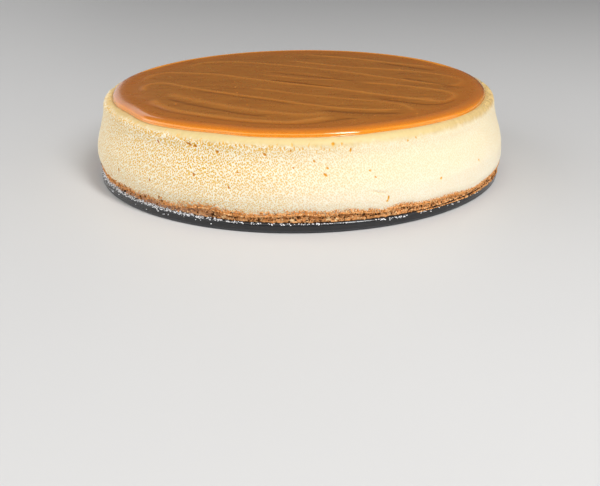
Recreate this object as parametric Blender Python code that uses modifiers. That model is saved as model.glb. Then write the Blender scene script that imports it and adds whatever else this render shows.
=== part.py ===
# A whole round cheesecake, standing on the loose metal base of its springform tin.
# From the bottom up: tin base, crumb crust, cheese filling, poured caramel topping.
# The origin is the centre of the base's underside, +Z is up, and -Y is the front.

import math

import bpy
from mathutils import Vector, noise

MM = 0.001
GAP = 0.3 * MM                       # left between pieces that touch

TIN_RADIUS = 115.0 * MM              # of a 9 inch springform tin, with its rolled edge
TIN_SHEET = 1.0 * MM
TIN_RIM_HEIGHT = 5.2 * MM
TIN_RIM_WIDTH = 5.0 * MM
TIN_RIM_CORNER = 1.9 * MM
TIN_LIFT = 0.2 * MM                  # the rim hangs this far above the table
TIN_STEPS = 96

CAKE_STEPS = 144                     # shared by crust and filling, which meet on a rough line
CAKE_FLAT_RADIUS = 98.0 * MM         # inside this the layers meet on a plane
CAKE_OFF_CENTRE = 0.9 * MM           # the cake's foot sits this far towards +X on the tin base

CRUST_TOP = 9.0 * MM
CRUST_RADIUS = 114.3 * MM
CRUST_EDGE_ROLL = 1.0 * MM
CRUST_TILT = 0.9 * MM                # its top edge is this much lower at +X, and higher at -X
CRUST_WAVE = 0.9 * MM                # how far its top edge wanders up and down
CRUST_CRAG = 0.55 * MM               # how far single crumbs stand out of its side
CRUST_LOWEST = -2.2 * MM             # and never further down than this
# Where crumbs were pressed higher or lower up the tin's side: angle, rise, half width.
CRUST_PEAKS = (
    (math.radians(-147), -2.6 * MM, math.radians(16)),
    (math.radians(-119), -1.5 * MM, math.radians(12)),
    (math.radians(-99), -0.8 * MM, math.radians(8)),
    (math.radians(-40), -1.2 * MM, math.radians(8)),
    (math.radians(-142), 1.3 * MM, math.radians(4)),
    (math.radians(-114), 2.3 * MM, math.radians(5)),
    (math.radians(-104), -0.9 * MM, math.radians(5)),
    (math.radians(-89), 1.2 * MM, math.radians(4)),
    (math.radians(-79), 0.8 * MM, math.radians(3)),
    (math.radians(-70), -0.8 * MM, math.radians(3)),
    (math.radians(-65), 1.3 * MM, math.radians(2.5)),
    (math.radians(-49), 0.7 * MM, math.radians(3)),
)

FOOT_RADIUS = 115.2 * MM
BELLY_RADIUS = 116.3 * MM
BELLY_HEIGHT = 15.5 * MM
SHOULDER_RADIUS = 110.8 * MM
SHOULDER_HEIGHT = 41.3 * MM
CAKE_TOP = 44.8 * MM
CAKE_TOP_RADIUS = 106.9 * MM
CAKE_UNEVEN = 0.45 * MM              # slow bumps in the side left by the tin's lining

CARAMEL_RADIUS = 105.2 * MM
CARAMEL_THICKNESS = 2.7 * MM
CARAMEL_EDGE_WIDTH = 6.6 * MM        # the rounded border, from its foot to the flat top
CARAMEL_FOOT = 0.35 * MM             # the foot of the border is undercut by this
CARAMEL_STEPS = 120
CARAMEL_RUN = 0.4 * MM               # slow wander of the outline
# Where the caramel stopped short or ran out: angle, how far out, half width.
CARAMEL_BUMPS = (
    (math.radians(-149), -1.3 * MM, math.radians(4)),
    (math.radians(-134), 1.8 * MM, math.radians(7)),
    (math.radians(-112), -1.8 * MM, math.radians(6)),
    (math.radians(-66), -1.0 * MM, math.radians(6)),
    (math.radians(-38), 1.6 * MM, math.radians(14)),
)


def clear_scene():
    for obj in list(bpy.data.objects):
        bpy.data.objects.remove(obj, do_unlink=True)


def plain_material(name, colour, roughness, metallic=0.0):
    material = bpy.data.materials.new(name)
    material.use_nodes = True
    shader = material.node_tree.nodes["Principled BSDF"]
    shader.inputs["Base Color"].default_value = (*colour, 1.0)
    shader.inputs["Roughness"].default_value = roughness
    shader.inputs["Metallic"].default_value = metallic
    return material


def turned(name, profile, steps, material, collection):
    """A profile of (radius, height) points, from the axis at the top round to the axis below, turned about Z."""
    mesh = bpy.data.meshes.new(name)
    points = [(radius, 0.0, height) for radius, height in profile]
    mesh.from_pydata(points, [(i, i + 1) for i in range(len(points) - 1)], [])
    mesh.materials.append(material)
    obj = bpy.data.objects.new(name, mesh)
    collection.objects.link(obj)
    screw = obj.modifiers.new("Turn", "SCREW")
    screw.axis = "Z"
    screw.steps = steps
    screw.render_steps = steps
    screw.use_merge_vertices = True
    screw.merge_threshold = 0.01 * MM
    screw.use_smooth_shade = True
    return obj


def reshaped(obj, moved):
    """Applies the turning, then puts each point where moved(radius, angle, height) says."""
    bpy.context.view_layer.update()
    graph = bpy.context.evaluated_depsgraph_get()
    mesh = bpy.data.meshes.new_from_object(obj.evaluated_get(graph))
    obj.modifiers.clear()
    obj.data = mesh
    for vertex in mesh.vertices:
        x, y, z = vertex.co
        angle = math.atan2(y, x)
        radius, height = moved(math.hypot(x, y), angle, z)
        vertex.co = (radius * math.cos(angle), radius * math.sin(angle), height)
    mesh.shade_smooth()
    mesh.set_sharp_from_angle(angle=math.radians(50))
    return obj


def arc(centre, across, up, start, end, steps):
    """Points on an ellipse, with the angle in degrees from the outward direction."""
    for i in range(steps + 1):
        angle = math.radians(start + (end - start) * i / steps)
        yield centre[0] + across * math.cos(angle), centre[1] + up * math.sin(angle)


def wander(angle, turns, seed):
    """Smooth noise from -1 to 1 that closes up after a full turn."""
    return noise.noise(Vector((turns * math.cos(angle), turns * math.sin(angle), seed)))


def fade(value, low, high):
    """0 below low, 1 above high, and smooth between."""
    t = min(max((value - low) / (high - low), 0.0), 1.0)
    return t * t * (3.0 - 2.0 * t)


def bumps(angle, table):
    """Sum of the table's rounded bumps, each (middle, size, half width), at this angle."""
    total = 0.0
    for middle, size, width in table:
        off = math.remainder(angle - middle, math.tau) / width
        total += size * math.exp(-off * off)
    return total


def crust_line(angle):
    """How far the top edge of the crust stands above or below its mean at this angle."""
    rough = CRUST_WAVE * (0.6 * wander(angle, 4.5, 3.1) + 0.6 * wander(angle, 16.0, 8.4))
    return max(rough + bumps(angle, CRUST_PEAKS) - CRUST_TILT * math.cos(angle), CRUST_LOWEST)


def caramel_reach(angle):
    """Radius of the caramel's foot at this angle."""
    run = CARAMEL_RUN * (wander(angle, 1.6, 5.7) + 0.7 * wander(angle, 7.0, 2.2))
    return CARAMEL_RADIUS + run + bumps(angle, CARAMEL_BUMPS)


def tin_base(material, collection):
    """A shallow steel tray. Its edge is rolled outwards into the bead that the tin's ring clamps."""
    inner = TIN_RADIUS - TIN_RIM_WIDTH
    corner = TIN_RIM_CORNER
    ledge = TIN_RIM_HEIGHT - corner
    foot = 0.8 * MM
    profile = [
        (0.0, TIN_SHEET),
        (inner - 1.0 * MM, TIN_SHEET),
        *arc((inner + 1.2 * MM, ledge), 1.2 * MM, corner, 180, 90, 2),
        *arc((TIN_RADIUS - corner, ledge), corner, corner, 90, 0, 4),
        *arc((TIN_RADIUS - foot, TIN_LIFT + foot), foot, foot, 0, -90, 2),
        (inner, TIN_LIFT),
        (inner - 1.5 * MM, 0.0),
        (0.0, 0.0),
    ]
    return turned("springform_base", profile, TIN_STEPS, material, collection)


def crumb_crust(material, collection):
    """Pressed crumbs that fill the tray and stand a little over its rim."""
    ledge = TIN_RIM_HEIGHT + GAP
    wall = TIN_RADIUS - TIN_RIM_WIDTH - 1.4 * MM
    roll = CRUST_EDGE_ROLL
    rim = CRUST_RADIUS - roll
    side = [
        (CRUST_RADIUS, ledge + (CRUST_TOP - roll - ledge) * share)
        for share in (0.75, 0.5, 0.25)
    ]
    profile = [
        (0.0, CRUST_TOP),
        (CAKE_FLAT_RADIUS, CRUST_TOP),
        (0.5 * (CAKE_FLAT_RADIUS + rim), CRUST_TOP),
        *arc((rim, CRUST_TOP - roll), roll, roll, 90, 0, 2),
        *side,
        (CRUST_RADIUS - 0.3 * MM, ledge),
        (wall + 2.2 * MM, ledge),
        (wall + 0.6 * MM, ledge - 1.2 * MM),
        (wall - 0.6 * MM, TIN_SHEET + GAP),
        (0.0, TIN_SHEET + GAP),
    ]

    def moved(radius, angle, height):
        rise = min(max((height - ledge) / (CRUST_TOP - roll - ledge), 0.0), 1.0)
        rise *= fade(radius, CAKE_FLAT_RADIUS, rim)
        point = Vector((radius * math.cos(angle), radius * math.sin(angle), height))
        crumb = noise.noise(point / (3.0 * MM)) + 0.5 * noise.noise(point / (1.3 * MM))
        crag = CRUST_CRAG * crumb * fade(radius, rim, CRUST_RADIUS) * fade(height, ledge, ledge + 1.0 * MM)
        shift = CAKE_OFF_CENTRE * math.cos(angle) * fade(radius, wall + 2.2 * MM, rim)
        return radius + crag + shift, height + crust_line(angle) * rise

    return reshaped(turned("crumb_crust", profile, CAKE_STEPS, material, collection), moved)


def side_radius(height):
    """The filling's side: out from its foot to the belly, then eased in towards the shoulder."""
    if height < BELLY_HEIGHT:
        share = (height - CRUST_TOP) / (BELLY_HEIGHT - CRUST_TOP)
        return FOOT_RADIUS + (BELLY_RADIUS - FOOT_RADIUS) * math.sin(share * math.pi / 2)
    share = (height - BELLY_HEIGHT) / (SHOULDER_HEIGHT - BELLY_HEIGHT)
    return SHOULDER_RADIUS + (BELLY_RADIUS - SHOULDER_RADIUS) * (1 + math.cos(share * math.pi)) / 2


def cheese_filling(material, collection):
    """The baked filling, from the crust to the top, with a soft shoulder round its upper edge."""
    bottom = CRUST_TOP + GAP
    rim = CRUST_RADIUS - CRUST_EDGE_ROLL
    across = SHOULDER_RADIUS - CAKE_TOP_RADIUS
    rise = CAKE_TOP - SHOULDER_HEIGHT
    heights = [SHOULDER_HEIGHT + (BELLY_HEIGHT - SHOULDER_HEIGHT) * i / 6 for i in range(1, 7)]
    heights.append(0.5 * (BELLY_HEIGHT + CRUST_TOP))
    profile = [
        (0.0, CAKE_TOP),
        (CAKE_FLAT_RADIUS, CAKE_TOP),
        *arc((CAKE_TOP_RADIUS, SHOULDER_HEIGHT), across, rise, 90, 0, 4),
        *[(side_radius(height), height) for height in heights],
        (FOOT_RADIUS, bottom + 0.8 * MM),
        (rim, bottom),
        (0.5 * (CAKE_FLAT_RADIUS + rim), bottom),
        (CAKE_FLAT_RADIUS, bottom),
        (0.0, bottom),
    ]

    def moved(radius, angle, height):
        point = Vector((math.cos(angle), math.sin(angle), height / (40.0 * MM)))
        on_side = fade(radius, CAKE_TOP_RADIUS, SHOULDER_RADIUS) * fade(height, CRUST_TOP, BELLY_HEIGHT)
        bump = noise.noise(point * 3.0) + 0.4 * noise.noise(point * 9.0)
        low = (1.0 - fade(height, bottom + 0.8 * MM, BELLY_HEIGHT)) * fade(radius, CAKE_FLAT_RADIUS, rim)
        shift = CAKE_OFF_CENTRE * math.cos(angle) * low
        return radius + CAKE_UNEVEN * bump * on_side + shift, height + crust_line(angle) * low

    return reshaped(turned("cheese_filling", profile, CAKE_STEPS, material, collection), moved)


def caramel_topping(material, collection):
    """Caramel poured and spread on the top, which stopped in a thick rounded border."""
    bottom = CAKE_TOP + GAP
    top = CAKE_TOP + CARAMEL_THICKNESS
    flat = CARAMEL_RADIUS - CARAMEL_EDGE_WIDTH
    foot = bottom + CARAMEL_FOOT
    profile = [
        (0.0, top),
        (0.6 * flat, top),
        *arc((flat, foot), CARAMEL_EDGE_WIDTH, top - foot, 90, 0, 6),
        (CARAMEL_RADIUS - CARAMEL_FOOT, bottom),
        (0.0, bottom),
    ]

    def moved(radius, angle, height):
        share = fade(radius, 0.5 * flat, flat)
        return radius + (caramel_reach(angle) - CARAMEL_RADIUS) * share, height

    return reshaped(turned("caramel_topping", profile, CARAMEL_STEPS, material, collection), moved)


def main():
    clear_scene()
    cake = bpy.data.collections.new("cheesecake")
    bpy.context.scene.collection.children.link(cake)
    tin_base(plain_material("coated_steel", (0.030, 0.032, 0.035), 0.35, 0.6), cake)
    crumb_crust(plain_material("crumbs", (0.35, 0.15, 0.055), 0.85), cake)
    cheese_filling(plain_material("cheese", (0.90, 0.76, 0.47), 0.6), cake)
    caramel_topping(plain_material("caramel", (0.42, 0.155, 0.035), 0.2), cake)


main()
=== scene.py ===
import math

import bmesh
import bpy
import numpy as np
from mathutils import Matrix, Vector
from mathutils.bvhtree import BVHTree


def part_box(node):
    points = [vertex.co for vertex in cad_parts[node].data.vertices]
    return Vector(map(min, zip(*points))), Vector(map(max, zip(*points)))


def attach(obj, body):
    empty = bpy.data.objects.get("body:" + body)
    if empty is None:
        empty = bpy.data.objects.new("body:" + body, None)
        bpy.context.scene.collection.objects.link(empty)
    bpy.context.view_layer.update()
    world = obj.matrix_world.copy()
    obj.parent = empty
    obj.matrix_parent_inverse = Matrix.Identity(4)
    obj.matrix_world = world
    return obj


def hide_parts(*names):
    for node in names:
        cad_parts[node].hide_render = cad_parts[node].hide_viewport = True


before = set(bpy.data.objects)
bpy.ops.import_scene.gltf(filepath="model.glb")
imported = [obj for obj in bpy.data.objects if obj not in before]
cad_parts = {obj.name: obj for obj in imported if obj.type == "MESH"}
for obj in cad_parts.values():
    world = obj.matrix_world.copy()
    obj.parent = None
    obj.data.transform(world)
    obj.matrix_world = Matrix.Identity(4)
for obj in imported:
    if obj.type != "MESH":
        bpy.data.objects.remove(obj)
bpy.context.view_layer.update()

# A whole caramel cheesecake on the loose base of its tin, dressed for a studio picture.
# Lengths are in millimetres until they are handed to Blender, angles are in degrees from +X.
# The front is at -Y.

mm = 0.001
lattice = np.random.default_rng(11).uniform(-1.0, 1.0, (48, 48, 48))  # all slow unevenness is read from it


def report(text):
    print("scene:", text)


def smoothNoise(points, cell):
    # values from -1 to 1 at (n, 3) points in mm, rounded off between lattice points one cell apart
    scaled = points / cell
    base = np.floor(scaled).astype(int)
    share = scaled - base
    share = share * share * (3.0 - 2.0 * share)
    total = np.zeros(len(points))
    for corner in range(8):
        step = np.array([corner & 1, corner >> 1 & 1, corner >> 2 & 1])
        index = (base + step) % lattice.shape[0]
        weight = np.prod(np.where(step, share, 1.0 - share), axis=1)
        total += weight * lattice[index[:, 0], index[:, 1], index[:, 2]]
    return total


def roughNoise(points, cell):
    # three sizes of smoothNoise on top of each other
    turned = points @ np.array([[0.8, 0.36, -0.48], [-0.6, 0.48, -0.64], [0.0, 0.8, 0.6]])
    large, small = smoothNoise(points, cell), smoothNoise(turned, cell / 2.1)
    return large + 0.5 * small + 0.25 * smoothNoise(points, cell / 4.3)


def fade(value, low, high):
    # 0 below low, 1 above high and smooth between
    share = np.clip((value - low) / (high - low), 0.0, 1.0)
    return share * share * (3.0 - 2.0 * share)


def turnOff(angle, middle):
    # how far an angle in degrees is from middle, the short way round
    return (angle - middle + 180.0) % 360.0 - 180.0


def pointsAt(radius, angle, height):
    # (n, 3) points from arrays of radius, angle in degrees and height
    radius, angle, height = np.broadcast_arrays(radius, np.radians(angle), height)
    return np.stack([radius * np.cos(angle), radius * np.sin(angle), height], -1).reshape(-1, 3)


def smoothRound(values, width):
    # evens out the last axis, which runs once round the cake, over about width samples
    reach = int(3 * width)
    weights = np.exp(-0.5 * (np.arange(-reach, reach + 1) / width) ** 2)
    weights /= weights.sum()
    return sum(w * np.roll(values, k, axis=-1) for k, w in zip(range(-reach, reach + 1), weights))


def readRound(table, angles):
    # reads a table of samples, evenly spaced round the cake on its last axis, at other angles
    count = table.shape[-1]
    place = np.asarray(angles) % 360.0 / 360.0 * count
    low = np.floor(place).astype(int) % count
    share = place - np.floor(place)
    return table[..., low] * (1.0 - share) + table[..., (low + 1) % count] * share


def readSpread(spread, angle):
    # reads a row of angles and shares at other angles
    return np.interp(turnOff(angle, 0.0), *np.array(spread).T)


def between(ends, share):
    # the value at a share of the way from the first of two ends to the second
    return ends[0] + (ends[1] - ends[0]) * share


def nodeTree(name):
    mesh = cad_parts[name].data
    points = [vertex.co / mm for vertex in mesh.vertices]
    return BVHTree.FromPolygons(points, [list(face.vertices) for face in mesh.polygons])


def hitRadius(tree, angle, height, start=140.0):
    # radius where a level ray from outside meets the node
    towards = Vector((-math.cos(math.radians(angle)), -math.sin(math.radians(angle)), 0.0))
    spot = tree.ray_cast(-towards * start + Vector((0.0, 0.0, height)), towards)[0]
    return spot.xy.length


def hitHeight(tree, angle, radius, start=60.0):
    # height where a ray straight down meets the node
    out = Vector((math.cos(math.radians(angle)), math.sin(math.radians(angle)), 0.0))
    return tree.ray_cast(out * radius + Vector((0.0, 0.0, start)), Vector((0.0, 0.0, -1.0)))[0].z


def addPiece(name, points, faces, values=None):
    # a smooth mesh object from points in mm, with one named value a point for each entry of values
    mesh = bpy.data.meshes.new(name)
    mesh.from_pydata((np.asarray(points) * mm).tolist(), [], faces)
    mesh.update()
    mesh.shade_smooth()
    for key, numbers in (values or {}).items():
        stored = mesh.attributes.new(key, "FLOAT", "POINT")
        stored.data.foreach_set("value", np.asarray(numbers, np.float32).ravel())
    piece = bpy.data.objects.new(name, mesh)
    bpy.context.scene.collection.objects.link(piece)
    return piece


def turnedPiece(name, radius, height, angles, topHeight, bottomHeight, values=None):
    # a closed shell from rings of points: radius and height are (ring, step) arrays, and the rings run from
    # the top's middle out, down and in
    rings, steps = radius.shape
    points = pointsAt(radius, angles[None, :], height)
    points = np.vstack([points, [[0.0, 0.0, topHeight], [0.0, 0.0, bottomHeight]]])
    ring, step = np.meshgrid(np.arange(rings - 1), np.arange(steps), indexing="ij")
    here = (ring * steps + step).ravel()
    beside = (ring * steps + (step + 1) % steps).ravel()
    faces = np.stack([here, here + steps, beside + steps, beside], -1).tolist()
    top, bottom, last = rings * steps, rings * steps + 1, (rings - 1) * steps
    for k in range(steps):
        faces.append((top, k, (k + 1) % steps))
        faces.append((bottom, last + (k + 1) % steps, last + k))
    full = {}
    for key, numbers in (values or {}).items():
        numbers = np.asarray(numbers)
        full[key] = np.append(numbers.ravel(), [numbers[0, 0], numbers[-1, 0]])
    return addPiece(name, points, faces, full)


def scatterPiece(name, shape, centres, sizes, turns, values, jitter, rng):
    # many small copies of one shape joined into a mesh, each with its own size, turn and uneven corners
    corners, faces = shape
    count, each = len(centres), len(corners)
    uneven = 1.0 + jitter * rng.uniform(-1.0, 1.0, (count, each, 1))
    points = corners[None] * uneven * sizes[:, None, :]
    points = np.einsum("nij,nkj->nki", turns, points) + centres[:, None, :]
    offsets = (np.arange(count) * each)[:, None, None]
    allFaces = (np.asarray(faces)[None] + offsets).reshape(-1, len(faces[0])).tolist()
    repeated = {key: np.repeat(value, each) for key, value in values.items()}
    return addPiece(name, points.reshape(-1, 3), allFaces, repeated)


def grainShape(detail):
    # corners and triangles of a ball, which scatterPiece makes uneven
    ball = bmesh.new()
    bmesh.ops.create_icosphere(ball, subdivisions=detail, radius=1.0)
    corners = np.array([vertex.co[:] for vertex in ball.verts])
    faces = [[vertex.index for vertex in face.verts] for face in ball.faces]
    ball.free()
    return corners, faces


def anyTurns(count, rng):
    # random rotation matrices
    q = rng.normal(size=(count, 4))
    w, x, y, z = (q / np.linalg.norm(q, axis=1, keepdims=True)).T
    return np.stack([
        1 - 2 * (y * y + z * z), 2 * (x * y - z * w), 2 * (x * z + y * w),
        2 * (x * y + z * w), 1 - 2 * (x * x + z * z), 2 * (y * z - x * w),
        2 * (x * z - y * w), 2 * (y * z + x * w), 1 - 2 * (x * x + y * y),
    ], -1).reshape(-1, 3, 3)


def turnsAbout(angles):
    # rotation matrices about Z
    c, s = np.cos(np.radians(angles)), np.sin(np.radians(angles))
    o, i = np.zeros_like(c), np.ones_like(c)
    return np.stack([c, -s, o, s, c, o, o, o, i], -1).reshape(-1, 3, 3)


def smoothPath(points, spacing=1.0):
    # an even run of points on a soft curve through a few given ones
    p = np.asarray(points, float)
    p = np.vstack([2 * p[0] - p[1], p, 2 * p[-1] - p[-2]])
    out = []
    for k in range(1, len(p) - 2):
        steps = max(2, int(np.linalg.norm(p[k + 1] - p[k]) / spacing))
        t = (np.arange(steps) / steps)[:, None]
        a, b, c, d = p[k - 1], p[k], p[k + 1], p[k + 2]
        slope, bend, twist = c - a, 2 * a - 5 * b + 4 * c - d, 3 * b - a - 3 * c + d
        out.append(0.5 * (2 * b + slope * t + bend * t ** 2 + twist * t ** 3))
    out.append(p[-2:-1])
    return np.vstack(out)


report("helpers ready")


# Materials. Node groups hold what several finishes share: an uneven tone with a fine grain, and scattered
# specks in the round or on a place laid out flat.

def addNode(tree, kind, place, inputs=None, **settings):
    node = tree.nodes.new(kind)
    node.location = place
    for key, value in settings.items():
        setattr(node, key, value)
    for key, value in (inputs or {}).items():
        node.inputs[key].default_value = value
    return node


def newGroup(name, inputs, outputs):
    group = bpy.data.node_groups.new(name, "ShaderNodeTree")
    for label, value in inputs.items():
        kind = "NodeSocketVector" if label == "Place" else "NodeSocketFloat"
        socket = group.interface.new_socket(label, in_out="INPUT", socket_type=kind)
        socket.default_value = value
    for label in outputs:
        group.interface.new_socket(label, in_out="OUTPUT", socket_type="NodeSocketFloat")
    return group, addNode(group, "NodeGroupInput", (-900, 0)), addNode(group, "NodeGroupOutput", (700, 0))


def makeGrainGroup():
    # Tone wanders slowly between 0 and 1, Grain is fine and even, Height joins both for a bump
    group, start, end = newGroup("uneven_grain", {"Patch Size": 12.0, "Grain Size": 0.8, "Grain Share": 0.5},
                                 ["Tone", "Grain", "Height"])
    link = group.links.new
    place = addNode(group, "ShaderNodeTexCoord", (-900, 300))
    patchScale = addNode(group, "ShaderNodeMath", (-700, 150), {0: 1000.0}, operation="DIVIDE")
    grainScale = addNode(group, "ShaderNodeMath", (-700, -50), {0: 1000.0}, operation="DIVIDE")
    link(start.outputs["Patch Size"], patchScale.inputs[1])
    link(start.outputs["Grain Size"], grainScale.inputs[1])
    patches = addNode(group, "ShaderNodeTexNoise", (-450, 200), {"Detail": 3.0, "Roughness": 0.55})
    grains = addNode(group, "ShaderNodeTexNoise", (-450, -100), {"Detail": 2.0, "Roughness": 0.6})
    link(place.outputs["Object"], patches.inputs["Vector"])
    link(place.outputs["Object"], grains.inputs["Vector"])
    link(patchScale.outputs[0], patches.inputs["Scale"])
    link(grainScale.outputs[0], grains.inputs["Scale"])
    tone = addNode(group, "ShaderNodeMapRange", (-150, 200), {"From Min": 0.3, "From Max": 0.7})
    grain = addNode(group, "ShaderNodeMapRange", (-150, -100), {"From Min": 0.25, "From Max": 0.75})
    link(patches.outputs["Fac"], tone.inputs["Value"])
    link(grains.outputs["Fac"], grain.inputs["Value"])
    height = addNode(group, "ShaderNodeMix", (200, 0), data_type="FLOAT")
    link(start.outputs["Grain Share"], height.inputs["Factor"])
    link(tone.outputs[0], height.inputs["A"])
    link(grain.outputs[0], height.inputs["B"])
    link(tone.outputs[0], end.inputs["Tone"])
    link(grain.outputs[0], end.inputs["Grain"])
    link(height.outputs[0], end.inputs["Height"])
    return group


def makeSpeckGroup(name, dimensions):
    # Specks is 1 on small separate spots
    inputs = {"Place": (0.0, 0.0, 0.0), "Spacing": 1.5, "Size": 0.3, "Share": 0.6}
    group, start, end = newGroup(name, inputs, ["Specks"])
    link = group.links.new
    scale = addNode(group, "ShaderNodeMath", (-700, 100), {0: 1000.0}, operation="DIVIDE")
    link(start.outputs["Spacing"], scale.inputs[1])
    cells = addNode(group, "ShaderNodeTexVoronoi", (-450, 150), feature="F1", voronoi_dimensions=dimensions)
    cells.inputs["Randomness"].default_value = 0.75
    link(start.outputs["Place"], cells.inputs["Vector"])
    link(scale.outputs[0], cells.inputs["Scale"])
    inside = addNode(group, "ShaderNodeMapRange", (-150, 200), {"To Min": 1.0, "To Max": 0.0},
                     interpolation_type="SMOOTHSTEP")
    core = addNode(group, "ShaderNodeMath", (-450, -150), {1: 0.8}, operation="MULTIPLY")
    link(start.outputs["Size"], core.inputs[0])
    link(cells.outputs["Distance"], inside.inputs["Value"])
    link(core.outputs[0], inside.inputs["From Min"])
    link(start.outputs["Size"], inside.inputs["From Max"])
    colour = addNode(group, "ShaderNodeSeparateColor", (-150, -50))
    link(cells.outputs["Color"], colour.inputs[0])
    chosen = addNode(group, "ShaderNodeMath", (100, -50), operation="LESS_THAN")
    link(colour.outputs["Red"], chosen.inputs[0])
    link(start.outputs["Share"], chosen.inputs[1])
    both = addNode(group, "ShaderNodeMath", (350, 100), operation="MULTIPLY")
    link(inside.outputs[0], both.inputs[0])
    link(chosen.outputs[0], both.inputs[1])
    link(both.outputs[0], end.inputs["Specks"])
    return group


grainGroup = makeGrainGroup()
speckGroup = makeSpeckGroup("scattered_specks", "3D")
flatSpeckGroup = makeSpeckGroup("flat_specks", "2D")      # for a place laid out flat, as on the cake's side


class Finish:
    # one material: its shader, and short ways to place, mix and link nodes
    def __init__(self, name, **sockets):
        self.material = bpy.data.materials.new(name)
        self.material.use_nodes = True
        self.tree = self.material.node_tree
        self.shader = self.tree.nodes["Principled BSDF"]
        self.column = -1500
        for key, value in sockets.items():
            self.shader.inputs[key.replace("_", " ")].default_value = value

    def node(self, kind, inputs=None, **settings):
        self.column += 60
        return addNode(self.tree, kind, (self.column, -self.column % 500), inputs, **settings)

    def group(self, group, **inputs):
        given = {key.replace("_", " "): value for key, value in inputs.items()}
        return self.node("ShaderNodeGroup", given, node_tree=group)

    def specks(self, place, group, **inputs):
        node = self.group(group, **inputs)
        self.tree.links.new(place, node.inputs["Place"])
        return node

    def objectPlace(self):
        return self.node("ShaderNodeTexCoord").outputs["Object"]

    def sidePlace(self, lean, stretch):
        # the place on the cake's side as distance round it and height, leant over and stretched
        flat = self.node("ShaderNodeCombineXYZ")
        self.tree.links.new(self.value("along"), flat.inputs["X"])
        self.tree.links.new(self.value("level"), flat.inputs["Y"])
        leant = self.node("ShaderNodeMapping", {"Rotation": (0.0, 0.0, math.radians(lean))})
        squeezed = self.node("ShaderNodeMapping", {"Scale": (1.0 / stretch, 1.0, 1.0)})
        self.tree.links.new(flat.outputs[0], leant.inputs["Vector"])
        self.tree.links.new(leant.outputs[0], squeezed.inputs["Vector"])
        return squeezed.outputs[0]

    def value(self, name):
        return self.node("ShaderNodeAttribute", attribute_name=name).outputs["Fac"]

    def feed(self, given, target):
        # links an output to a socket, or sets the socket to a plain number or colour
        if isinstance(given, bpy.types.NodeSocket):
            self.tree.links.new(given, target)
        elif isinstance(given, tuple):
            target.default_value = (*given, 1.0)
        else:
            target.default_value = given

    def mix(self, factor, a, b, blend="MIX"):
        node = self.node("ShaderNodeMix", data_type="RGBA", blend_type=blend)
        self.feed(factor, next(s for s in node.inputs if s.name == "Factor"))
        for label, given in (("A", a), ("B", b)):
            self.feed(given, next(s for s in node.inputs if s.name == label and s.type == "RGBA"))
        return next(s for s in node.outputs if s.type == "RGBA")

    def math(self, operation, a, b):
        node = self.node("ShaderNodeMath", operation=operation)
        self.feed(a, node.inputs[0])
        self.feed(b, node.inputs[1])
        return node.outputs[0]

    def spread(self, value, low, high, toLow=0.0, toHigh=1.0):
        ends = {"From Min": low, "From Max": high, "To Min": toLow, "To Max": toHigh}
        node = self.node("ShaderNodeMapRange", ends)
        self.feed(value, node.inputs["Value"])
        return node.outputs[0]

    def link(self, value, socket):
        self.feed(value, self.shader.inputs[socket])

    def bump(self, height, strength, distance):
        node = self.node("ShaderNodeBump", {"Strength": strength, "Distance": distance * mm})
        self.tree.links.new(height, node.inputs["Height"])
        self.tree.links.new(node.outputs["Normal"], self.shader.inputs["Normal"])

    def onto(self, piece):
        piece.data.materials.clear()
        piece.data.materials.append(self.material)
        return piece


report("shared finishes ready")


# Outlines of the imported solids, which every finer piece follows.

readSteps = 288
readAngles = np.arange(readSteps) * 360.0 / readSteps
caramelTree = nodeTree("caramel_topping")
cheeseTree = nodeTree("cheese_filling")
crustTree = nodeTree("crumb_crust")
caramelLow, caramelHigh = (corner.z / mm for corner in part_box("caramel_topping"))
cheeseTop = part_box("cheese_filling")[1].z / mm
baseBox = [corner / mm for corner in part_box("springform_base")]
footHeight = 0.35                  # the caramel's outline is read this far above its underside
tinCorner = 1.9                    # rounding of the tin's edge
girthRadius = 114.0                # turns angles round the side into lengths
crustTop = 9.2                     # height of the crust under the cheese, away from the side
shoulderLow = 41.3                 # the side ends here and the rounded shoulder begins
footClear = 1.3                    # the side is read down to this far above the crust
caramelReach = np.array([hitRadius(caramelTree, a, caramelLow + footHeight) for a in readAngles])
caramelReach = smoothRound(caramelReach, 2.0)
crustReach = np.array([hitRadius(crustTree, a, 5.75) for a in readAngles])
crustLine = np.array([hitHeight(crustTree, a, r - 1.9) for a, r in zip(readAngles, crustReach)])
crustReach = smoothRound(crustReach, 3.0)
crustLine = smoothRound(crustLine, 0.8)
wallRows = []
for rowShare in np.linspace(0.0, 1.0, 26):
    rowLevels = shoulderLow + (crustLine + footClear - shoulderLow) * rowShare
    wallRows.append([hitRadius(cheeseTree, a, level) for a, level in zip(readAngles, rowLevels)])
wallTable = smoothRound(np.array(wallRows), 1.6)


def wallRadius(angle, height):
    # radius of the cheese's side at an array of angles and one of heights
    angle, height = np.broadcast_arrays(angle, height)
    lowest = readRound(crustLine, angle) + footClear
    row = np.clip((shoulderLow - height) / (shoulderLow - lowest), 0.0, 1.0) * (len(wallTable) - 1)
    upper = np.minimum(row.astype(int), len(wallTable) - 2)
    place = angle % 360.0 / 360.0 * readSteps
    before = np.floor(place).astype(int) % readSteps
    after = (before + 1) % readSteps
    turn, drop = place - np.floor(place), row - upper
    high = wallTable[upper, before] * (1 - turn) + wallTable[upper, after] * turn
    low = wallTable[upper + 1, before] * (1 - turn) + wallTable[upper + 1, after] * turn
    return high * (1 - drop) + low * drop


report("outlines of the solids read")


# Caramel: spread to and fro with a spatula, then left to stop in a thick rounded border.

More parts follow.
